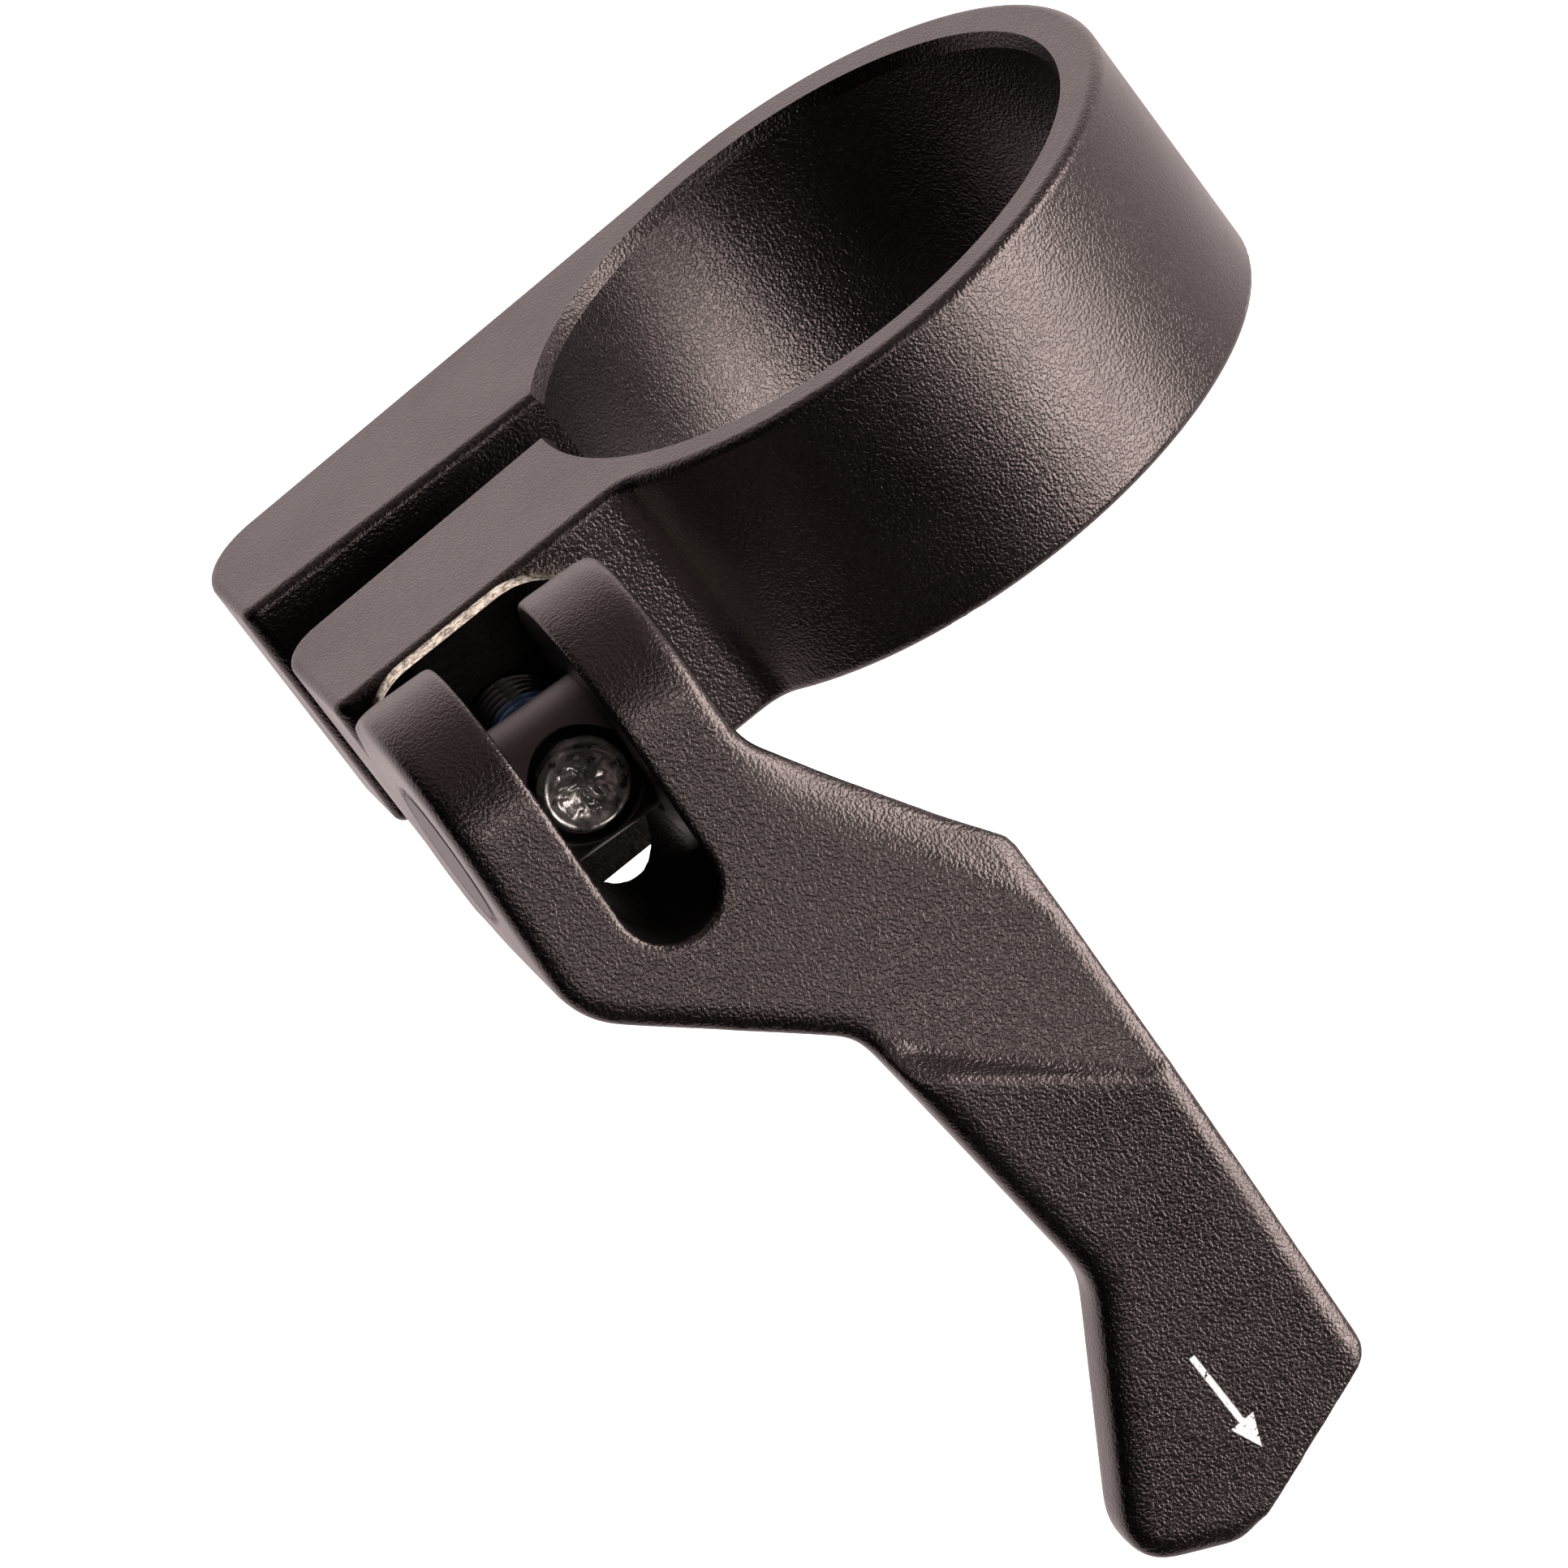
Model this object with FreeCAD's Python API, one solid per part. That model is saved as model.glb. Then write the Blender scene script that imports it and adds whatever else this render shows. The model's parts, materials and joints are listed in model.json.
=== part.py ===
import FreeCAD, Part
import os
from math import cos, hypot, pi, radians, sin, sqrt, tan
from FreeCAD import Vector

# Quick-release seat clamp: a split collar, a forked cam lever, and the bolt and barrel nut that join them.
# Millimetres. +Z runs up the bore, the ears point along -X, the lever is on the -Y side, and the bolt lies
# along Y. The origin is on the bore's axis, halfway up the collar. The lever is modelled closed.

# Collar
tube_d = 31.8            # the tube that the collar grips
band_wall = 2.7
band_offset = 0.25       # the collar's outside lies this far off the bore's axis, towards the far ear
band_height = 14.8
band_edge_r = 0.6        # rounding of the collar's outer edges
bore_lead = 0.35         # lead-in at each end of the bore: width, then depth
bore_lead_depth = 0.8

# Ears
ear_past_bolt = 7.0      # from the bolt's axis to the ends of the ears
near_face = 10.45        # from the bore's axis to the near ear's outer face
far_slope_deg = 3.2      # the far ear's outer face leaves the collar as a tangent at this slope
far_corner_r = 4.0
near_corner_r = 2.4
ear_corner_r = 0.9       # the two sharper ear corners
ear_root_r = 2.2         # hollow where the near ear's face meets the collar
slit_offset = 3.7        # the slit's centre line, off the bore's axis
slit_width = 4.9         # at the bore
slit_half_angle_deg = 3.1

# Bolt and what it passes through
bolt_d = 5.0
bolt_past_bore = 10.75   # from the bore's wall to the bolt's axis
bolt_z = 1.15            # above the collar's mid-height
thread_pitch = 0.8
thread_length = 22.0
thread_depth = 0.43
thread_flat = 0.1        # share of the pitch that is flat, at the crests and in the roots
bolt_tip_chamfer = 0.3
bolt_past_nut = 3.1      # bolt's end, past the nut's centre
bolt_hole_play = 0.3     # all round the bolt, in the ears and washers
head_d = 8.5
head_height = 5.0
head_edge_r = 0.4
hex_across_flats = 4.0
hex_depth = 2.6
head_pocket_play = 0.45  # all round the head
head_sink = 0.3          # how far the head lies below the far ear's face
head_washer_d = 9.0
head_washer_t = 1.0

# Cam washer
cam_washer_width = 13.8
cam_washer_height = 15.8
cam_washer_drop = 0.7    # its middle, below the collar's mid-height
cam_washer_t = 1.25
cam_washer_corner_r = 4.0

# Barrel nut
nut_d = 8.0
nut_mouth_rim = 0.6      # countersink round its threaded hole, at the back
nut_recess_rim = 0.75    # round recess at the front: past the bolt's radius, then its depth
nut_recess_depth = 1.75
nut_end_chamfer = 0.3
running_play = 0.05      # radial, nut in lever and bolt in nut
seat_play = 0.03         # between flat faces of bodies that move on each other

# Cam lever
fork_width = 14.8
slot_play = 0.15         # each side of the bolt
slot_bottom = -7.4       # below the nut's centre, as all the lever's heights are
lever_roll_deg = 3.5     # the closed lever's lean about the bolt
cam_reach = 8.9          # nut's centre to the cam's face when closed
cam_fall = 0.5           # how much less per radian of throw
cam_end_deg = 170.0      # throw at the end of the cam
cam_steps = 9
front_end_slope_deg = 17.0   # the body's front, at its lower end
body_right = 15.75
body_corner = -12.8
body_corner_r = 1.5
shoulder_slope = 1.415   # fall per width, from the fork out to the body's corner
shoulder_r = 3.0         # hollow where the fork widens into the body
shoulder_edge = 1.3      # thickness of the edge above the slope cut behind the shoulder
shoulder_cut_deg = 45.0
hip = -7.85              # where the fork's left side turns into the body's lower edge
hip_r = 4.0
body_end = -30.0         # the body runs on this far behind the handle's front
crease_left = (3.75, -16.5)      # the raised front of the handle starts along this line
crease_right = (15.75, -26.75)
crease_r = 2.0           # hollow where the body's lower edge meets the handle
handle_slope_deg = 6.0
handle_t = 4.4
waist = (6.35, -33.15)
tip_left = (-0.35, -46.45)
tip_bottom = (5.55, -49.0)
tip_right = (16.0, -44.35)
waist_r = 1.2
tip_left_r = 2.2
tip_r = 1.5
back_slope_top = (0.9, -3.2)     # the lever's back: y below the cam's reach, and z
back_bulge = (3.1, -5.6)
back_slot_end = (1.6, -7.6)      # then y and z
back_thinning = (-6.2, -16.0)

bore_r = tube_d / 2
band_r = bore_r + band_wall
half_height = band_height / 2
bolt_r = bolt_d / 2
bolt_x = -bore_r - bolt_past_bore
ear_reach = ear_past_bolt - bolt_x
slot_r = bolt_r + slot_play
bolt_hole_r = bolt_r + bolt_hole_play
washer_face_y = -near_face - cam_washer_t
nut_y = washer_face_y - seat_play - cam_reach
far_slope = radians(far_slope_deg)
far_face_y = band_offset + (band_r - sin(far_slope) * -bolt_x) / cos(far_slope)
head_top_y = far_face_y - head_sink
head_seat_y = head_top_y - head_height
pocket_floor_y = head_seat_y - 2 * seat_play - head_washer_t
reach_all = 200.0        # longer than anything here, for cuts that go right through
side_end = tip_bottom[1] - 2     # the side outlines run on past the tip


def rounded_wire(corners, lift=0.0):
    """A closed wire in the XY plane through (x, y, radius) corners."""
    edges = []
    ends = []
    count = len(corners)
    for index, (x, y, radius) in enumerate(corners):
        corner = Vector(x, y, lift)
        before = Vector(*corners[index - 1][:2], lift) - corner
        after = Vector(*corners[(index + 1) % count][:2], lift) - corner
        if radius == 0:
            ends.append((corner, corner))
            continue
        half = before.getAngle(after) / 2
        before.normalize()
        after.normalize()
        start = corner + before * (radius / tan(half))
        end = corner + after * (radius / tan(half))
        middle = corner + (before + after).normalize() * (radius / sin(half) - radius)
        ends.append((start, end))
        edges.append((index, Part.Arc(start, middle, end).toShape()))
    arcs = dict(edges)
    chain = []
    for index in range(count):
        if index in arcs:
            chain.append(arcs[index])
        chain.append(Part.makeLine(ends[index][1], ends[(index + 1) % count][0]))
    return Part.Wire(chain)


def prism(corners, low, high):
    """A solid with a rounded outline in XY, between two heights."""
    return Part.Face(rounded_wire(corners, low)).extrude(Vector(0, 0, high - low))


def cylinder_y(radius, start, end, x=0.0, z=0.0):
    return Part.makeCylinder(radius, end - start, Vector(x, start, z), Vector(0, 1, 0))


def edges_where(shape, test):
    """The edges whose middle point, first and last points all pass the test."""
    found = []
    for edge in shape.Edges:
        first, last = edge.ParameterRange
        points = [edge.valueAt(first), edge.valueAt((first + last) / 2), edge.valueAt(last)]
        if all(test(point) for point in points):
            found.append(edge)
    return found


def slit_half(x):
    """Half the slit's width at a place along the ears."""
    return slit_width / 2 + (-bore_r - x) * tan(radians(slit_half_angle_deg))


def clamp_band():
    tangent = Vector(-band_r * sin(far_slope), band_offset + band_r * cos(far_slope), 0)
    far_end_y = tangent.y - (tangent.x + ear_reach) * tan(far_slope)
    ears = prism([(0, 0, 0), (tangent.x, tangent.y, 0), (-ear_reach, far_end_y, far_corner_r),
                  (-ear_reach, -near_face, ear_corner_r), (0, -near_face, 0)], -half_height, half_height)
    band = Part.makeCylinder(band_r, band_height, Vector(0, band_offset, -half_height)).fuse(ears).removeSplitter()
    root_x = -sqrt(band_r ** 2 - (near_face + band_offset) ** 2)
    band = band.makeFillet(ear_root_r, upright_edges(band, root_x, -near_face))

    inner_x = -bore_r + band_wall
    inner_half = slit_half(inner_x)
    outer_half = slit_half(-2 * ear_reach)
    slit = prism([(inner_x, slit_offset - inner_half, 0), (inner_x, slit_offset + inner_half, 0),
                  (-2 * ear_reach, slit_offset + outer_half, 0), (-2 * ear_reach, slit_offset - outer_half, 0)],
                 -band_height, band_height)
    band = band.cut(slit)
    mouth_half = slit_half(-ear_reach)
    band = band.makeFillet(near_corner_r, upright_edges(band, -ear_reach, slit_offset - mouth_half))
    band = band.makeFillet(ear_corner_r, upright_edges(band, -ear_reach, slit_offset + mouth_half))
    band = band.makeFillet(band_edge_r, edges_where(band, lambda p: abs(abs(p.z) - half_height) < 0.001))

    band = band.cut(Part.makeCylinder(bore_r, reach_all, Vector(0, 0, -reach_all / 2)))
    for side in (-1, 1):
        lead = Part.makeCone(bore_r, bore_r + bore_lead, bore_lead_depth,
                             Vector(0, 0, side * (half_height - bore_lead_depth)), Vector(0, 0, side))
        band = band.cut(lead)
    band = band.cut(cylinder_y(bolt_hole_r, -reach_all / 2, reach_all / 2, bolt_x, bolt_z))
    pocket_r = head_d / 2 + head_pocket_play
    return band.cut(cylinder_y(pocket_r, pocket_floor_y, reach_all, bolt_x, bolt_z))


def upright_edges(shape, x, y):
    """The edges that run straight up at a place."""
    return edges_where(shape, lambda p: hypot(p.x - x, p.y - y) < 0.001)


def bolt_profile():
    """Half section of the bolt as (radius, distance from the head's top towards the tip)."""
    tip = head_top_y - (nut_y - bolt_past_nut)
    points = [(0, 0), (head_d / 2 - head_edge_r, 0), (head_d / 2, head_edge_r), (head_d / 2, head_height),
              (bolt_r, head_height), (bolt_r, tip - thread_length)]
    turns = int((thread_length - bolt_tip_chamfer) / thread_pitch)
    for turn in range(turns):
        start = tip - thread_length + turn * thread_pitch
        for radius, share in ((bolt_r - thread_depth, 0.5), (bolt_r, 1.0)):
            points.append((radius, start + thread_pitch * (share - thread_flat / 2)))
            points.append((radius, start + thread_pitch * (share + thread_flat / 2)))
    points += [(bolt_r, tip - bolt_tip_chamfer), (bolt_r - bolt_tip_chamfer, tip), (0, tip)]
    return points


def clamp_bolt():
    section = [Vector(bolt_x + radius, head_top_y - along, bolt_z) for radius, along in bolt_profile()]
    face = Part.Face(Part.makePolygon(section + section[:1]))
    bolt = face.revolve(Vector(bolt_x, 0, bolt_z), Vector(0, 1, 0), 360)
    corner_r = hex_across_flats / 2 / cos(pi / 6)
    flats = [Vector(bolt_x + corner_r * cos(k * pi / 3), head_top_y - hex_depth, bolt_z + corner_r * sin(k * pi / 3))
             for k in range(6)]
    socket = Part.Face(Part.makePolygon(flats + flats[:1])).extrude(Vector(0, hex_depth + 1, 0))
    return bolt.cut(socket)


def head_washer():
    ring = cylinder_y(head_washer_d / 2, pocket_floor_y + seat_play, head_seat_y - seat_play, bolt_x, bolt_z)
    return ring.cut(cylinder_y(bolt_hole_r, -reach_all / 2, reach_all / 2, bolt_x, bolt_z))


def cam_washer():
    half = cam_washer_width / 2
    low = -cam_washer_drop - cam_washer_height / 2
    high = low + cam_washer_height
    radius = cam_washer_corner_r
    plate = prism([(bolt_x - half, -high, radius), (bolt_x + half, -high, radius),
                   (bolt_x + half, -low, radius), (bolt_x - half, -low, radius)], 0, cam_washer_t)
    plate.rotate(Vector(0, 0, 0), Vector(1, 0, 0), -90)
    plate.translate(Vector(0, washer_face_y, 0))
    return plate.cut(cylinder_y(bolt_hole_r, -reach_all / 2, reach_all / 2, bolt_x, bolt_z))


def place_on_nut(shape):
    """Move a shape from the nut's own frame, X along the nut and Z up the fork, to its place."""
    shape.rotate(Vector(0, 0, 0), Vector(0, 1, 0), lever_roll_deg)
    shape.translate(Vector(bolt_x, nut_y, bolt_z))
    return shape


def barrel_nut():
    nut_r = nut_d / 2
    half = fork_width / 2
    nut = Part.makeCylinder(nut_r, fork_width, Vector(-half, 0, 0), Vector(1, 0, 0))
    rims = edges_where(nut, lambda p: abs(abs(p.x) - half) < 0.01)
    nut = nut.makeChamfer(nut_end_chamfer, rims)
    hole_r = bolt_r + running_play
    nut = nut.cut(cylinder_y(hole_r, -nut_d, nut_d))
    mouth_r = bolt_r + nut_mouth_rim
    mouth = Part.makeCone(hole_r, mouth_r + nut_r, nut_r + mouth_r - hole_r,
                          Vector(0, nut_r - 2 * (mouth_r - hole_r), 0), Vector(0, 1, 0))
    recess = cylinder_y(bolt_r + nut_recess_rim, -nut_d, nut_recess_depth - nut_r)
    return place_on_nut(nut.cut(mouth).cut(recess))


def cam_point(turn):
    """A point (y, z) of the cam, whose face lies cam_reach - cam_fall * turn from the nut's centre."""
    reach = cam_reach - cam_fall * turn
    return (reach * cos(turn) + cam_fall * sin(turn), reach * sin(turn) - cam_fall * cos(turn))


def side_plane(points):
    return [Vector(0, y, z) for y, z in points]


def lever_front(z):
    """The body's front (y) at a height: one long arc that carries on from the end of the cam."""
    start_y, start_z = cam_point(radians(cam_end_deg))
    start_slope = tan(radians(180 - cam_end_deg))
    end_slope = tan(radians(front_end_slope_deg))
    drop = start_z - z
    full_drop = start_z - crease_right[1]
    return start_y - start_slope * drop - (end_slope - start_slope) * drop ** 2 / (2 * full_drop)


def handle_front(z):
    """The handle's front (y) at a height: flat, and level with the body's front at the crease's right end."""
    return lever_front(crease_right[1]) - (crease_right[1] - z) * tan(radians(handle_slope_deg))


def lever_back():
    """The lever's back, from the bottom of the handle up to the cam, as edges seen along the nut."""
    top = crease_right[1]
    corner = (handle_front(top) + handle_t, top)
    handle_back = Part.makeLine(*side_plane([(handle_front(side_end) + handle_t, side_end), corner]))
    nose = Part.BSplineCurve()
    bulge, slope_top = [(cam_reach - inset, z) for inset, z in (back_bulge, back_slope_top)]
    nose.interpolate(side_plane([corner, back_thinning, back_slot_end, bulge, slope_top]))
    return [handle_back, nose.toShape(), Part.makeLine(*side_plane([slope_top, cam_point(0)]))]


def side_solid(front_edges):
    """The lever seen along the nut, between the given front and the back, carried right through."""
    solid = Part.Face(Part.Wire(front_edges + lever_back())).extrude(Vector(reach_all, 0, 0))
    solid.translate(Vector(-reach_all / 2, 0, 0))
    return solid


def body_side():
    """The cam, then the body's front as one long arc, then straight on behind the handle's front."""
    cam_end = radians(cam_end_deg)
    cam = Part.BSplineCurve()
    cam.interpolate(side_plane([cam_point(cam_end * step / cam_steps) for step in range(cam_steps + 1)]))
    top = cam_point(cam_end)[1]
    low = crease_right[1]
    arc_heights = [top, (top + low) / 2, low]
    arc = Part.Arc(*side_plane([(lever_front(z), z) for z in arc_heights]))
    back = handle_front(side_end) + handle_t
    rest = [(lever_front(low), low), (back - handle_t / 2, side_end), (back, side_end)]
    lines = [Part.makeLine(*side_plane(rest[step:step + 2])) for step in range(2)]
    return side_solid([cam.toShape(), arc.toShape()] + lines)


def handle_side():
    """The handle's flat front, from above the crease to below the tip."""
    top = crease_left[1] / 2
    front = handle_front(side_end)
    slab = [(front + handle_t, side_end), (front, side_end), (handle_front(top), top)]
    lines = [Part.makeLine(*side_plane(slab[step:step + 2])) for step in range(2)]
    lines.append(Part.makeLine(*side_plane([slab[2], cam_point(0)])))
    return side_solid(lines)


def front_prism(corners):
    """A solid that runs right through along Y, with its rounded outline given as (x, z, radius)."""
    solid = prism([(x, -z, radius) for x, z, radius in corners], -reach_all / 2, reach_all / 2)
    solid.rotate(Vector(0, 0, 0), Vector(1, 0, 0), -90)
    return solid


def shoulder_height():
    """Where the shoulder's slope would meet the fork's right side."""
    return body_corner + (body_right - fork_width / 2) * shoulder_slope


def body_outline():
    half = fork_width / 2
    top = 2 * cam_reach
    handle_left = [(a + b) / 2 for a, b in zip(crease_left, waist)]
    return front_prism([(-half, top, 0), (-half, hip, hip_r), (*crease_left, crease_r), (*handle_left, 0),
                        (right_edge(body_end), body_end, 0), (body_right, body_corner, body_corner_r),
                        (half, shoulder_height(), shoulder_r), (half, top, 0)])


def right_edge(z):
    """The lever's straight right edge (x) at a height."""
    return body_right + (tip_right[0] - body_right) * (z - body_corner) / (tip_right[1] - body_corner)


def handle_outline():
    return front_prism([(*crease_left, 0), (*waist, waist_r), (*tip_left, tip_left_r),
                        (*tip_bottom, tip_r), (*tip_right, tip_r), (right_edge(crease_right[1]), crease_right[1], 0)])


def shoulder_cut():
    """What is cut away behind the shoulder, right of the fork: it slopes inwards from a thin edge."""
    half = fork_width / 2
    top, low = [Vector(x, lever_front(z) + shoulder_edge, z)
                for x, z in ((half, shoulder_height()), (body_right, body_corner))]
    run = low - top
    inward = Vector(0, 1, 0).cross(run).normalize() * reach_all
    slope = inward * tan(radians(shoulder_cut_deg)) + Vector(0, reach_all, 0)
    start = top - run
    section = [start, start + slope, start + slope - inward * 3, start - inward]
    behind = Part.Face(Part.makePolygon(section + section[:1])).extrude(run * 3)
    beside_fork = Part.makeBox(reach_all, reach_all, reach_all, Vector(half, -reach_all / 2, -reach_all / 2))
    return behind.common(beside_fork)


def cam_lever():
    body = body_side().common(body_outline()).removeSplitter()
    handle = handle_side().common(handle_outline()).removeSplitter()
    lever = body.fuse(handle).removeSplitter().cut(shoulder_cut())

    slot = front_prism([(-slot_r, 2 * cam_reach, 0), (-slot_r, slot_bottom + slot_r, 0),
                        (slot_r, slot_bottom + slot_r, 0), (slot_r, 2 * cam_reach, 0)])
    slot_end = cylinder_y(slot_r, -reach_all / 2, reach_all / 2, 0, slot_bottom + slot_r)
    lever = lever.cut(slot).cut(slot_end)
    hole_r = nut_d / 2 + running_play
    lever = lever.cut(Part.makeCylinder(hole_r, reach_all, Vector(-reach_all / 2, 0, 0), Vector(1, 0, 0)))
    return place_on_nut(lever)


os.makedirs("parts", exist_ok=True)
for make in (clamp_band, cam_washer, head_washer, clamp_bolt, barrel_nut, cam_lever):
    solid = make()
    print(make.__name__, solid.ShapeType, len(solid.Solids), solid.isValid(), round(solid.Volume, 1))
    solid.exportStep("parts/" + make.__name__ + ".step")
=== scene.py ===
import json
import math

import bmesh
import bpy
import numpy as np
from mathutils import Matrix, Vector, noise
from mathutils.bvhtree import BVHTree


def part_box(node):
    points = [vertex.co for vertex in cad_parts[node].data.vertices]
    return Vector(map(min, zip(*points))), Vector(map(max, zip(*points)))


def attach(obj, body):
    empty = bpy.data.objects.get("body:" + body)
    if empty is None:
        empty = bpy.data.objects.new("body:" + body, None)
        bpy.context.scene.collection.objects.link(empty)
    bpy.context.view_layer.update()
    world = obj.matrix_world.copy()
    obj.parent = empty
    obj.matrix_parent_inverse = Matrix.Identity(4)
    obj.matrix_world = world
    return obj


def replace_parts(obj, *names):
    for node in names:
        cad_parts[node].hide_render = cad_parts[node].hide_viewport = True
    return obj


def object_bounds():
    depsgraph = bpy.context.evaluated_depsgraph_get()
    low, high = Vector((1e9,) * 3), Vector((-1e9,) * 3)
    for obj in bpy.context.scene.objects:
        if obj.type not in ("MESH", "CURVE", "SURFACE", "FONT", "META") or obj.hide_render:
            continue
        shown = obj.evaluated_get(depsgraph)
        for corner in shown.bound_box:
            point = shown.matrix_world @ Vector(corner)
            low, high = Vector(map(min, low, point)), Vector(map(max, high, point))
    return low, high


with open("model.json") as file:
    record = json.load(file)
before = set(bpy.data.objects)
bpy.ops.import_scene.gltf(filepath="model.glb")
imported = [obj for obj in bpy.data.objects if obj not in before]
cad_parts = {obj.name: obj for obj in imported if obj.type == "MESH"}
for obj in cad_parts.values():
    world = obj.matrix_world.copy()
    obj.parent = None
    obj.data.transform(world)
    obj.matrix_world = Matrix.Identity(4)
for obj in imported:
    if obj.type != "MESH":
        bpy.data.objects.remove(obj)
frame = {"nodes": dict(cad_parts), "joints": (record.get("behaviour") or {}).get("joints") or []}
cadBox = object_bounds()
mm = 0.001
print("frame loaded:", len(frame["nodes"]), "nodes")


class Wire:  # a node socket, so that a material's maths reads as plain expressions
    def __init__(self, finish, socket):
        self.finish = finish
        self.socket = socket

    def maths(self, operation, *values):
        return self.finish.node("Math", {"operation": operation}, dict(enumerate(values)))

    def __add__(self, other):
        return self.maths("ADD", self, other)

    def __radd__(self, other):
        return self.maths("ADD", other, self)

    def __sub__(self, other):
        return self.maths("SUBTRACT", self, other)

    def __rsub__(self, other):
        return self.maths("SUBTRACT", other, self)

    def __mul__(self, other):
        return self.maths("MULTIPLY", self, other)

    def __rmul__(self, other):
        return self.maths("MULTIPLY", other, self)

    def root(self):
        return self.maths("SQRT", self)

    def size(self):
        return self.maths("ABSOLUTE", self)


class Finish:  # one material, or the world, with its main shader and the nodes that feed it
    def __init__(self, owner, main="Principled BSDF"):
        owner.use_nodes = True
        self.owner = owner
        self.tree = owner.node_tree
        self.shader = self.tree.nodes[main]

    def node(self, kind, settings=None, sockets=None, out=0):
        made = self.tree.nodes.new("ShaderNode" + kind)
        for name, value in (settings or {}).items():
            setattr(made, name, value)
        for name, value in (sockets or {}).items():
            self.feed(made.inputs[name], value)
        return Wire(self, made.outputs[out])

    def feed(self, socket, value):
        if isinstance(value, Wire):
            self.tree.links.new(value.socket, socket)
        else:
            socket.default_value = value

    def set(self, **sockets):
        for name, value in sockets.items():
            self.feed(self.shader.inputs[name.replace("_", " ")], value)
        return self.owner

    def grain(self, size, detail=2.0, roughness=0.5):
        place = self.node("TexCoord", out="Object")
        return self.node("TexNoise", None, {"Vector": place, "Scale": 1 / size, "Detail": detail,
                                            "Roughness": roughness})

    def spread(self, value, low, high, toLow=0.0, toHigh=1.0):  # smoothly, toLow at low and toHigh at high
        ends = {"From Min": low, "From Max": high, "To Min": toLow, "To Max": toHigh}
        return self.node("MapRange", {"interpolation_type": "SMOOTHSTEP"}, {"Value": value, **ends})

    def along(self, vector, direction):
        return self.node("VectorMath", {"operation": "DOT_PRODUCT"}, {0: vector, 1: direction}, out="Value")

    def blend(self, share, first, second):
        return self.node("Mix", {"data_type": "RGBA"}, {"Factor": share, 6: first, 7: second}, out=2)


cameraView = {
    "azimuth": -3.9,
    "elevation": 23.5,
    "roll": -37.22,
    "distance": 830 * mm,
    "lens": 372.7,
    "aimRight": -4.59 * mm,
    "aimUp": -22.16 * mm,
}


def seenFrom(azimuth, elevation, roll=0.0):  # right, up and back of a camera that looks at the origin
    azimuth, elevation = math.radians(azimuth), math.radians(elevation)
    back = Vector((math.sin(azimuth) * math.cos(elevation), -math.cos(azimuth) * math.cos(elevation),
                   math.sin(elevation)))
    right = Vector((0, 0, 1)).cross(back).normalized()
    turn = Matrix.Rotation(math.radians(roll), 3, back)
    return turn @ right, turn @ back.cross(right), back


def addCamera():
    camera = bpy.data.objects.new("camera", bpy.data.cameras.new("camera"))
    camera.data.lens = cameraView["lens"]
    camera.data.clip_start = 0.05
    camera.data.clip_end = 20
    aim = right * cameraView["aimRight"] + up * cameraView["aimUp"]
    camera.matrix_world = Matrix.Translation(aim + back * cameraView["distance"]) @ Matrix(
        (right, up, back)).transposed().to_4x4()
    bpy.context.scene.collection.objects.link(camera)
    bpy.context.scene.camera = camera


right, up, back = seenFrom(cameraView["azimuth"], cameraView["elevation"], cameraView["roll"])
addCamera()
print("camera placed")


# The lever is reworked in its own frame, in millimetres: x along the nut, y towards the back, z up the fork.
throw = next(joint for joint in frame["joints"] if joint["name"] == "lever_throw")
leverX = -Vector(throw["axis"])
leverY = Vector((0, 1, 0))
leverTurn = Matrix((leverX, leverY, leverX.cross(leverY))).transposed()
leverPlace = Matrix.Translation(throw["pos_m"]) @ leverTurn.to_4x4() @ Matrix.Scale(mm, 4)


def newFinish(name):
    return Finish(bpy.data.materials.new(name))


alloyFinish = {
    "grain": 0.165 * mm,
    "coarseGrain": 2.7,  # times the grain
    "coarseShare": 0.25,
    "patches": 6 * mm,
    "bump": 0.018 * mm,
    "dark": (0.0008, 0.0006, 0.0006, 1),
    "light": (0.0022, 0.0018, 0.0017, 1),
    "roughness": (0.28, 0.34),
    "tint": (1.0, 0.81, 0.78, 1),
}


def blastedFinish(name, shape):  # fine pebbled grain under black anodising
    finish = newFinish(name)
    pebbles = finish.grain(shape["grain"], detail=1.0, roughness=0.45)
    coarse = finish.grain(shape["grain"] * shape["coarseGrain"], detail=1.0)
    patches = finish.grain(shape["patches"], detail=3.0)
    height = finish.spread(pebbles, 0.32, 0.68) + coarse * shape["coarseShare"]
    bump = finish.node("Bump", None, {"Height": height, "Strength": 1.0, "Distance": shape["bump"]})
    colour = finish.blend(finish.spread(pebbles, 0.35, 0.65), shape["dark"], shape["light"])
    rough = finish.spread(patches, 0.3, 0.7, *shape["roughness"])
    finish.set(Base_Color=colour, Roughness=rough, Normal=bump, Specular_Tint=shape["tint"])
    return finish, colour, rough


def blastedBlackAlloy():
    return blastedFinish("blastedBlackAlloy", alloyFinish)[0].owner


boltMiddle = (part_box("clamp_bolt")[0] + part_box("clamp_bolt")[1]) / 2
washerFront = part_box("cam_washer")[0].y

boltFinish = {
    "patches": 0.9 * mm,
    "black": ((0.003, 0.0028, 0.0028, 1), (0.008, 0.0075, 0.0075, 1)),
    "bare": (0.27, 0.24, 0.225, 1),
    "bareDepth": (0.9 * mm, 0.5 * mm),  # where the bare metal starts and is whole, from the tip
    "blue": (0.012, 0.05, 0.14, 1),
    "blueBack": (2.9 * mm, 3.3 * mm),  # the thread-lock's back and front edges, from the washer
    "blueFront": (6.2 * mm, 5.6 * mm),
    "blueLow": (1.1 * mm, 1.9 * mm),  # its lower edge, above the bolt's middle
    "blueRoughness": 0.2,  # more than the steel's
    "roughness": (0.16, 0.34),
    "bump": 0.03 * mm,
}


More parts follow.
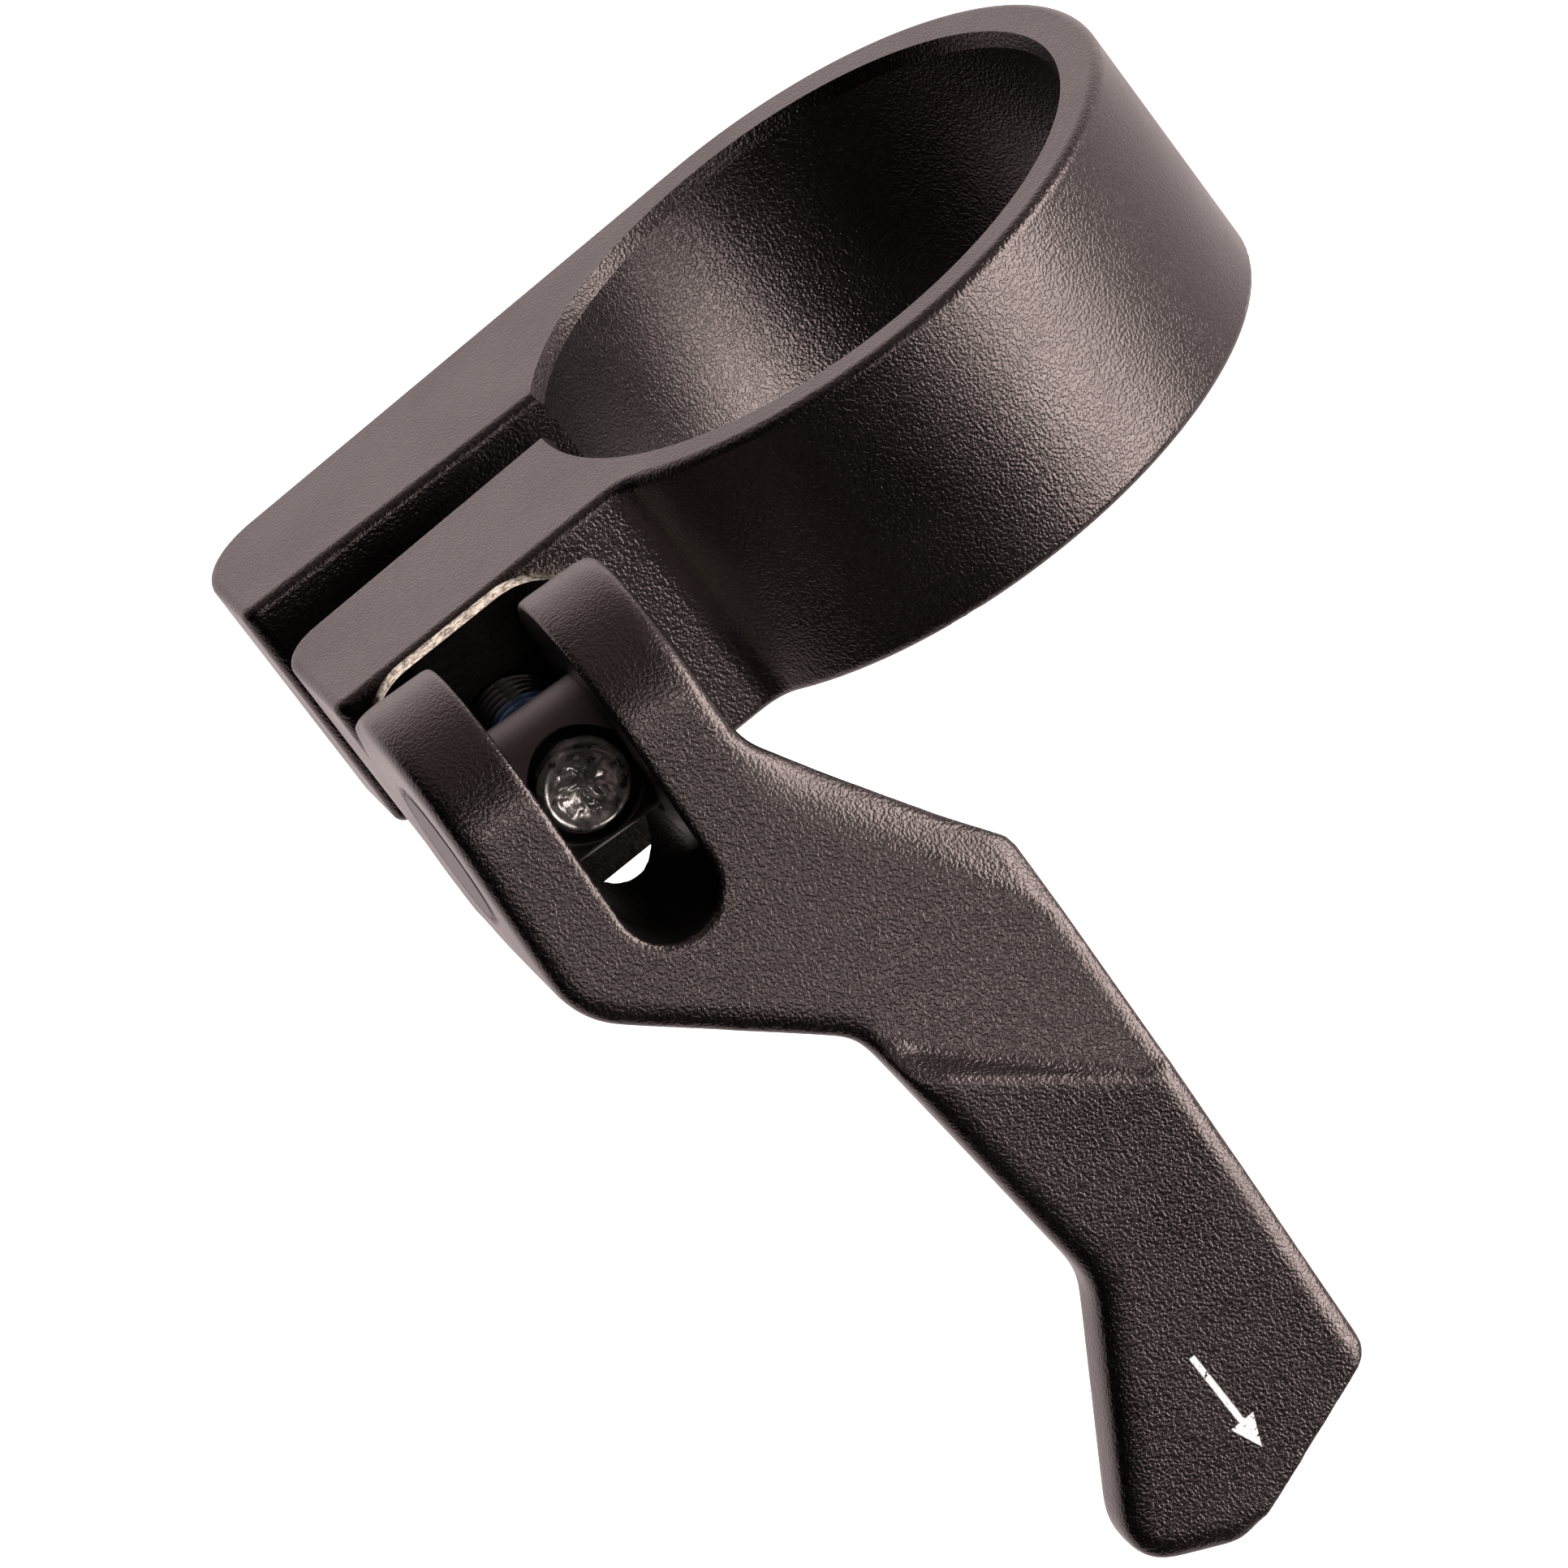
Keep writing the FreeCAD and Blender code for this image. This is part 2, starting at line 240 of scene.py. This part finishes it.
def boltSteel(shape):  # black oxide, bare metal in the staked tip and blue thread-lock on top near the nut
    finish = newFinish("boltSteel")
    place = finish.node("TexCoord", out="Object")
    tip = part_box("clamp_bolt")[0].y
    alongY = finish.along(place, (0, 1, 0))
    height = finish.along(place, (0, 0, 1))
    patches = finish.grain(shape["patches"], detail=4.0)
    bare = finish.spread(alongY, *(tip + depth for depth in shape["bareDepth"]))
    bare = bare * finish.spread(patches, 0.30, 0.62)
    colour = finish.blend(bare, finish.blend(patches, *shape["black"]), shape["bare"])
    blue = finish.spread(alongY, *(washerFront - edge for edge in shape["blueBack"]))
    blue = blue * finish.spread(alongY, *(washerFront - edge for edge in shape["blueFront"]))
    blue = blue * finish.spread(height, *(boltMiddle.z + edge for edge in shape["blueLow"]))
    colour = finish.blend(blue, colour, shape["blue"])
    rough = finish.spread(patches, 0.3, 0.7, *shape["roughness"]) + blue * shape["blueRoughness"]
    bump = finish.node("Bump", None, {"Height": patches, "Strength": 0.6, "Distance": shape["bump"]})
    return finish.set(Base_Color=colour, Metallic=bare, Roughness=rough, Normal=bump)


nutFinish = {
    "patches": 0.8 * mm,
    "ringEdge": (3.0 * mm, 3.3 * mm),  # from the bolt's middle
    "polished": (0.001, 0.001, 0.001, 1),
    "satin": (0.006, 0.004, 0.004, 1),
    "roughness": (0.14, 0.42),  # of the ring and of the rest
    "bump": 0.012 * mm,
    "gloss": 0.35,
}


def nutSteel(shape):  # satin, but polished in a ring round the bolt
    finish = newFinish("nutSteel")
    place = finish.node("TexCoord", out="Object")
    across = finish.along(place, (1, 0, 0)) - boltMiddle.x
    height = finish.along(place, (0, 0, 1)) - boltMiddle.z
    out = (across * across + height * height).root()
    colour = finish.blend(finish.spread(out, *shape["ringEdge"]), shape["polished"], shape["satin"])
    rough = finish.spread(out, *shape["ringEdge"], *shape["roughness"])
    patches = finish.grain(shape["patches"], detail=4.0)
    bump = finish.node("Bump", None, {"Height": patches, "Strength": 0.4, "Distance": shape["bump"]})
    return finish.set(Base_Color=colour, Roughness=rough, Normal=bump, Specular_IOR_Level=shape["gloss"],
                      Specular_Tint=alloyFinish["tint"])


washerFinish = {
    "streaks": 0.35 * mm,
    "rimColours": ((0.16, 0.13, 0.09, 1), (0.86, 0.82, 0.70, 1)),
    # painted shade: the near-black colour given to the washer's flat faces instead of its plating
    "faceShadeColour": (0.012, 0.011, 0.010, 1),
    "roughness": (0.25, 0.45),
    "bump": 0.05 * mm,
}


def platedWasher(shape):  # pale plating, striated on its rim; its flat faces are painted almost black as painted shade
    finish = newFinish("platedWasher")
    streaks = finish.grain(shape["streaks"], detail=5.0, roughness=0.75)
    facing = finish.along(finish.node("NewGeometry", out="Normal"), (0, 1, 0))
    # painted shade: faces whose normal runs along y get the near-black colour, and the rim keeps the pale
    # plating
    unshadedRim = finish.spread(facing * facing, 0.75, 0.45)
    pale = finish.blend(finish.spread(streaks, 0.38, 0.62), *shape["rimColours"])
    rough = finish.spread(streaks, 0.3, 0.7, *shape["roughness"])
    bump = finish.node("Bump", None, {"Height": streaks, "Strength": 1.0, "Distance": shape["bump"]})
    return finish.set(Base_Color=finish.blend(unshadedRim, shape["faceShadeColour"], pale), Metallic=1.0, Roughness=rough,
                      Normal=bump)


leverMark = {  # a plain white arrow on the handle, in the lever's frame and in millimetres
    "middle": (8.6, -42.0),
    "turn": 4.0,
    "length": 6.0,
    "shaft": 0.32,
    "headLength": 1.7,
    "headWidth": 1.4,
    "edge": 0.05,
    "inFrontOf": (-13.2, -13.6),
    "white": (0.62, 0.60, 0.57, 1),
    "wear": 0.25 * mm,
    "roughness": 0.2,  # more than the alloy's
}


def markedAlloy(mark):
    finish, colour, rough = blastedFinish("markedAlloy", alloyFinish)
    place = finish.node("TexCoord", out="Object")
    spot = leverPlace @ Vector((mark["middle"][0], 0, mark["middle"][1]))
    turn = math.radians(mark["turn"])
    down = (leverTurn @ Vector((math.sin(turn), 0, -math.cos(turn)))) / mm
    side = (leverTurn @ Vector((math.cos(turn), 0, math.sin(turn)))) / mm
    forward = (leverTurn @ Vector((0, 1, 0))) / mm
    along = finish.along(place, down) - down.dot(spot)
    aside = (finish.along(place, side) - side.dot(spot)).size()
    depth = finish.along(place, forward) - forward.dot(spot)
    half, head, edge = mark["length"] / 2, mark["headLength"], mark["edge"]
    shaft = finish.spread(aside, mark["shaft"] / 2 + edge, mark["shaft"] / 2 - edge)
    shaft = shaft * finish.spread(along, -half - edge, -half + edge)
    shaft = shaft * finish.spread(along, half - head + edge, half - head - edge)
    slant = mark["headWidth"] / 2 / head
    tip = finish.spread(aside + along * slant, half * slant + edge, half * slant - edge)
    tip = tip * finish.spread(along, half - head - edge, half - head + edge)
    share = (shaft + tip) * finish.spread(depth, *mark["inFrontOf"])
    worn = share * finish.spread(finish.grain(mark["wear"]), 0.30, 0.42)
    return finish.set(Base_Color=finish.blend(worn, colour, mark["white"]),
                      Roughness=rough + worn * mark["roughness"])


def paint(piece, material):
    piece.data.materials.clear()
    piece.data.materials.append(material)
    for face in piece.data.polygons:
        face.material_index = 0


alloy, plated = blastedBlackAlloy(), platedWasher(washerFinish)
nodeFinishes = {"clamp_band": alloy, "barrel_nut": nutSteel(nutFinish),
                "cam_washer": plated, "head_washer": plated}
for node, material in nodeFinishes.items():
    paint(frame["nodes"][node], material)
print("materials made")


def newPiece(name, mesh, body, material):
    piece = bpy.data.objects.new(name, mesh)
    bpy.context.scene.collection.objects.link(piece)
    for face in mesh.polygons:
        face.use_smooth = True
    paint(piece, material)
    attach(piece, body)
    return piece


def remeshed(mesh, voxel):
    stand = bpy.data.objects.new("stand", mesh)
    bpy.context.scene.collection.objects.link(stand)
    change = stand.modifiers.new("remesh", "REMESH")
    change.mode = "VOXEL"
    change.voxel_size = voxel
    result = bpy.data.meshes.new_from_object(stand.evaluated_get(bpy.context.evaluated_depsgraph_get()))
    bpy.data.objects.remove(stand)
    bpy.data.meshes.remove(mesh)
    return result


def places(mesh):
    flat = np.empty(3 * len(mesh.vertices))
    mesh.vertices.foreach_get("co", flat)
    return flat.reshape(-1, 3)


def putPlaces(mesh, where):
    mesh.vertices.foreach_set("co", where.ravel())
    mesh.update()


def pastLine(where, start, end):  # how far each place lies to the left of a line, seen from the front
    (x0, z0), (x1, z1) = start, end
    length = math.hypot(x1 - x0, z1 - z0)
    return ((where[:, 2] - z0) * (x1 - x0) - (where[:, 0] - x0) * (z1 - z0)) / length


def nearLine(where, start, end):  # how far each place is from a stretch of line, seen from the front
    flat = where[:, [0, 2]] - start
    run = np.subtract(end, start)
    share = np.clip(flat @ run / (run @ run), 0, 1)
    return np.linalg.norm(flat - share[:, None] * run, axis=1)


def ramp(value, start, end):  # 0 at the start and 1 at the end
    return np.clip((value - start) / (end - start), 0, 1)


camLever = {  # in the lever's frame and in millimetres
    "voxel": 0.2,
    "fineVoxel": 0.15,
    "rightTop": (15.75, -12.8),
    "rightLow": (16.0, -44.35),
    "shoulderTop": (7.4, -0.985),
    "hip": (-7.4, -7.85),
    "creaseLeft": (3.75, -16.5),
    "creaseRight": (15.75, -26.75),
    "waist": (6.35, -33.15),
    "tipLeft": (-0.35, -46.45),
    "tipBottom": (5.55, -49.0),
    "weld": 0.002,
    "bodySpan": (-26.2, 6.0),  # where the body's front is measured, and below it runs on at the fall
    "bodyStep": 0.4,
    "bodyFall": 0.2,
    "forkRay": 5.0,  # how far right the rays go at the fork, past the slot, and lower down
    "bodyRay": 14.6,
    "forkEnds": -12,
    "handleSpan": (-44.0, -34.0),
    "handleRay": 9.0,
    "facetsBelow": 1,
    "bevel": (0.8, 0.3),  # width and depth
    "shoulderFacet": (1.9, 0.95),
    "facetGrowth": (0.06, 10, 0.8, 1.3),  # the shoulder facet's, per step right of x, at least and at most
    "facetFade": (-1.5, -4.5),
    "ledgeSlope": 1.4,
    "nutHole": 4.07,
    "nutRim": 0.12,
    "slot": (2.68, -7.4),  # half width, bottom
    "passes": 90,
    "crisp": 0.05,  # how much each pass softens the edges, where 1 is fully
    "handleLeft": 0.8,
    "leftReach": (1.8, 0.8),  # where the softer left edge starts and is whole
    "backEdges": 0.35,
    "backStart": (2.5, -8),  # behind the front, and below
    "prongTops": 0.5,
    "prongSides": (6.0, 6.7),
    "prongLow": (-13, -10),
    "prongBack": (5.5, 3.5),
    "awayFromNut": (4.6, 5.4),
}


def frontOf(tree, x, height):  # the y that a ray meets, sent from well in front of the lever
    hit = tree.ray_cast(Vector((x, -40, height)), Vector((0, 1, 0)))[0]
    return hit.y


def leverFront(mesh, shape):  # the fronts of the body and of the handle, as y at a height
    tree = BVHTree.FromPolygons([v.co for v in mesh.vertices], [p.vertices for p in mesh.polygons])
    heights = np.arange(*shape["bodySpan"], shape["bodyStep"])
    rays = np.where(heights > shape["forkEnds"], shape["forkRay"], shape["bodyRay"])
    fronts = [frontOf(tree, ray, height) for ray, height in zip(rays, heights)]
    low, high = shape["handleSpan"]
    lowFront, highFront = frontOf(tree, shape["handleRay"], low), frontOf(tree, shape["handleRay"], high)
    slope = (highFront - lowFront) / (high - low)

    def bodyFront(z):
        return np.interp(z, heights, fronts)  # which stays level past its ends

    def handleFront(z):
        return lowFront + (z - low) * slope

    return bodyFront, handleFront


def facets(where, bodyFront, handleFront, shape):  # cut the ledge, the bevel and the shoulder's facet
    x, y, z = where.T
    body = bodyFront(z) - shape["bodyFall"] * np.minimum(z - shape["bodySpan"][0], 0)
    belowCrease = pastLine(where, shape["creaseRight"], shape["creaseLeft"])
    ledge = np.maximum(handleFront(z), body - shape["ledgeSlope"] * belowCrease)
    front = np.where(belowCrease > 0, ledge, body)
    width, depth = shape["bevel"]
    inRight = pastLine(where, shape["rightLow"], shape["rightTop"])
    front = front + np.maximum(0, depth * (1 - inRight / width))
    width, depth = shape["shoulderFacet"]
    growth, growthFrom, least, most = shape["facetGrowth"]
    width = width * np.clip(1 + growth * (x - growthFrom), least, most)
    depth = depth * ramp(z, *shape["facetFade"])
    inShoulder = pastLine(where, shape["rightTop"], shape["shoulderTop"])
    front = front + np.maximum(0, depth * (1 - inShoulder / width))
    changed = where.copy()
    changed[:, 1] = np.where(z < shape["facetsBelow"], np.maximum(y, front), y)
    return changed


def softness(where, bodyFront, shape):  # each place's share of smoothing
    x, y, z = where.T
    behind, below = shape["backStart"]
    back = (y > bodyFront(z) + behind) & (z < below)
    share = np.where(back, shape["backEdges"], shape["crisp"])
    leftEdge = [shape[corner] for corner in ("hip", "creaseLeft", "waist", "tipLeft", "tipBottom")]
    for start, end in zip(leftEdge, leftEdge[1:]):
        near = ramp(nearLine(where, start, end), *shape["leftReach"])
        share = np.maximum(share, near * shape["handleLeft"])
    prongs = ramp(np.abs(x), *shape["prongSides"]) * ramp(z, *shape["prongLow"])
    prongs = prongs * ramp(y, *shape["prongBack"]) * ramp(np.hypot(y, z), *shape["awayFromNut"])
    return np.maximum(share, prongs * shape["prongTops"])


def smoothed(mesh, where, share, passes):  # each pass moves a place towards the middle of its neighbours
    ends = np.empty(2 * len(mesh.edges), dtype=np.int64)
    mesh.edges.foreach_get("vertices", ends)
    first, second = ends.reshape(-1, 2).T
    count = np.bincount(ends, minlength=len(where))[:, None]
    for step in range(passes):
        total = np.zeros_like(where)
        for axis in range(3):
            total[:, axis] = (np.bincount(first, where[second, axis], len(where))
                              + np.bincount(second, where[first, axis], len(where)))
        where = where + (total / count - where) * share[:, None]
    return where


def keepRoom(where, shape):  # the nut's hole and the slot stay as wide as they were
    x, y, z = where.T
    reach, hole = np.hypot(y, z), shape["nutHole"]
    wide = np.where(reach < hole + shape["nutRim"], np.maximum(reach, hole) / np.maximum(reach, 1e-6), 1)
    half, bottom = shape["slot"]
    inSlot = (np.abs(x) < half) & (z > bottom + half)
    return np.stack((np.where(inSlot, np.sign(x) * half, x), y * wide, z * wide), axis=1)


def makeLever(shape):
    source = frame["nodes"]["cam_lever"]
    mesh = source.data.copy()
    mesh.transform(leverPlace.inverted() @ source.matrix_world)
    welded = bmesh.new()
    welded.from_mesh(mesh)
    bmesh.ops.remove_doubles(welded, verts=welded.verts, dist=shape["weld"])
    welded.to_mesh(mesh)
    bodyFront, handleFront = leverFront(mesh, shape)
    mesh = remeshed(mesh, shape["voxel"])
    putPlaces(mesh, facets(places(mesh), bodyFront, handleFront, shape))
    mesh = remeshed(mesh, shape["fineVoxel"])
    where = places(mesh)
    where = smoothed(mesh, where, softness(where, bodyFront, shape), shape["passes"])
    putPlaces(mesh, keepRoom(where, shape))
    mesh.transform(leverPlace)
    piece = newPiece("camLever", mesh, "lever", markedAlloy(leverMark))
    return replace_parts(piece, "cam_lever")


makeLever(camLever)
print("lever made")


clampBolt = {  # in millimetres, from the tip
    "radius": 2.5,
    "pitch": 0.8,
    "pitchSteps": 8,
    "threadDepth": 0.4,
    "threadLength": 22.0,
    "threadFade": 12,  # steps over which it runs out
    "tipChamfer": 0.3,
    "craterRadius": 2.05,
    "craterDepth": 0.35,
    "craterBumps": 0.45,
    "craterSteps": 14,
    "folds": 0.55,  # how close together the staked tip's folds and ridges lie
    "ridges": 0.6,
    "ridgeShare": 0.4,
    "foldSlice": 3.7,
    "headRadius": 4.25,
    "headHeight": 5.0,
    "headEdge": 0.4,
    "keyWidth": 4.0,
    "keyDepth": 2.6,
    "keyEdge": 0.15,
    "segments": 96,
    "sharpAngle": 50,
}


def threadWave(turns):  # 0 at a crest and 1 in a root
    share = turns % 1.0
    return min(1.0, max(0.0, 1.25 - abs(share - 0.5) * 3.2))


def craterHeight(shape, out, angle):  # the staked tip's folds
    spot = Vector((out * math.cos(angle), out * math.sin(angle), shape["foldSlice"]))
    folds = noise.fractal(spot * shape["folds"], 0.9, 2.2, 4)
    ridges = noise.ridged_multi_fractal(spot * shape["ridges"], 0.9, 2.0, 3, 1.0, 2.0)
    fade = 1 - (out / shape["craterRadius"]) ** 4
    return (shape["craterDepth"] + shape["craterBumps"] * (folds + shape["ridgeShare"] * ridges)) * fade


def boltRings(shape, length):  # each gives radius and distance from the tip at an angle
    radius, pitch, steps = shape["radius"], shape["pitch"], shape["craterSteps"]
    chamfer, head, edge = shape["tipChamfer"], shape["headRadius"], shape["headEdge"]

    def crater(out):
        return lambda angle: (out, craterHeight(shape, out, angle))

    def thread(along, fade):
        depth = shape["threadDepth"] * fade
        return lambda angle: (radius - depth * threadWave(along / pitch - angle / (2 * math.pi)), along)

    def circle(out, along):
        return lambda angle: (out, along)

    def hexagon(grown, along):
        half, sixth = shape["keyWidth"] / 2, math.pi / 3
        return lambda angle: (half / math.cos((angle + sixth / 2) % sixth - sixth / 2) + grown, along)

    rings = [crater(shape["craterRadius"] * step / steps) for step in range(1, steps + 1)]
    rings.append(circle(radius - chamfer, 0))
    rise = pitch / shape["pitchSteps"]
    steps = int(shape["threadLength"] / rise)
    for step in range(1, steps + 1):
        rings.append(thread(chamfer + step * rise, min(1, (steps - step) / shape["threadFade"])))
    under = length - shape["headHeight"]
    rings += [circle(radius, under), circle(head, under), circle(head, length - edge),
              circle(head - edge * 0.3, length - edge * 0.3), circle(head - edge, length)]
    keyEdge, keyDepth = shape["keyEdge"], shape["keyDepth"]
    rings += [hexagon(keyEdge, length), hexagon(0, length - keyEdge), hexagon(0, length - keyDepth)]
    return rings


def makeBolt(shape):
    low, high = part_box("clamp_bolt")
    middle = Vector(((low.x + high.x) / 2, 0, (low.z + high.z) / 2)) / mm
    tip, length = low.y / mm, (high.y - low.y) / mm
    count = shape["segments"]
    body = bmesh.new()
    rows = []
    for ring in boltRings(shape, length):
        row = []
        for step in range(count):
            angle = 2 * math.pi * step / count
            out, along = ring(angle)
            row.append(body.verts.new((middle.x + out * math.cos(angle), tip + along,
                                       middle.z + out * math.sin(angle))))
        rows.append(row)
    for lower, upper in zip(rows, rows[1:]):
        for step in range(count):
            after = (step + 1) % count
            body.faces.new((lower[step], upper[step], upper[after], lower[after]))
    for row, along in ((rows[0], craterHeight(shape, 0, 0)), (rows[-1], length - shape["keyDepth"])):
        centre = body.verts.new((middle.x, tip + along, middle.z))
        for step in range(count):
            body.faces.new((row[step], row[(step + 1) % count], centre))
    bmesh.ops.recalc_face_normals(body, faces=body.faces)
    body.transform(Matrix.Scale(mm, 4))
    mesh = bpy.data.meshes.new("clampBolt")
    body.to_mesh(mesh)
    piece = newPiece("clampBolt", mesh, "bolt", boltSteel(boltFinish))
    mesh.set_sharp_from_angle(angle=math.radians(shape["sharpAngle"]))
    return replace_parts(piece, "clamp_bolt")


makeBolt(clampBolt)
print("bolt made")


studio = {
    "floorSize": 3.0,
    "floorDrop": 150 * mm,
    "floorColour": (0.9, 0.9, 0.9, 1),
    "floorGlow": 1.0,
    "behind": 1.2,  # brightness of the room behind the object, where 1 is white
    "behindFade": (0.05, -0.35),
    "above": 0.55,
    "aboveFade": (0.1, 0.8),
    "warmth": (1.0, 0.85, 0.84, 1),
}


def addFloor():
    size = studio["floorSize"]
    level = cadBox[0].z - studio["floorDrop"]
    shape = bmesh.new()
    corners = ((-1, -1), (1, -1), (1, 1), (-1, 1))
    shape.faces.new([shape.verts.new((x * size, y * size, level)) for x, y in corners])
    mesh = bpy.data.meshes.new("floor")
    shape.to_mesh(mesh)
    floor = bpy.data.objects.new("floor", mesh)
    bpy.context.scene.collection.objects.link(floor)
    pale = newFinish("paleFloor")
    paint(floor, pale.set(Base_Color=studio["floorColour"], Roughness=0.9, Emission_Color=(1, 1, 1, 1),
                          Emission_Strength=studio["floorGlow"]))
    floor.visible_glossy = False  # the softbox reaches below the floor, which hides nothing from it
    floor.visible_diffuse = False
    floor.visible_shadow = False


def addRoom():
    world = bpy.data.worlds.new("softRoom")
    bpy.context.scene.world = world
    room = Finish(world, "Background")
    direction = room.node("TexCoord", out="Generated")
    behind = room.spread(room.along(direction, back), *studio["behindFade"]) * studio["behind"]
    above = room.spread(room.along(direction, up), *studio["aboveFade"]) * studio["above"]
    seen = room.node("LightPath", out="Is Camera Ray")
    room.set(Color=room.blend(seen, studio["warmth"], (1, 1, 1, 1)),
             Strength=(behind + above) * (1 - seen) + seen)


softboxes = {  # turned away from the camera, to its right where the rise is 0
    "tallSoftbox": {"turn": 61, "rise": 15, "size": (0.46, 1.10), "distance": 0.85, "brightness": 17.0},
    "smallSoftbox": {"turn": 14, "rise": -25, "size": (0.12, 0.20), "distance": 0.85, "brightness": 22.0},
}


def addSoftbox(name, shape):
    turn, rise = math.radians(shape["turn"]), math.radians(shape["rise"])
    aside = right * math.cos(rise) + up * math.sin(rise)
    away = back * math.cos(turn) + aside * math.sin(turn)
    tall = (up - away * up.dot(away)).normalized()
    width, height = shape["size"]
    softbox = bpy.data.objects.new(name, bpy.data.lights.new(name, "AREA"))
    softbox.data.shape = "RECTANGLE"
    softbox.data.size, softbox.data.size_y = width, height
    softbox.data.energy = shape["brightness"] * math.pi * width * height
    softbox.data.color = (1, 0.96, 0.94)
    softbox.matrix_world = Matrix.Translation(away * shape["distance"]) @ Matrix(
        (tall.cross(away), tall, away)).transposed().to_4x4()
    bpy.context.scene.collection.objects.link(softbox)


addFloor()
addRoom()
for name, shape in softboxes.items():
    addSoftbox(name, shape)
bpy.context.scene.view_settings.view_transform = "Standard"
print("studio ready")
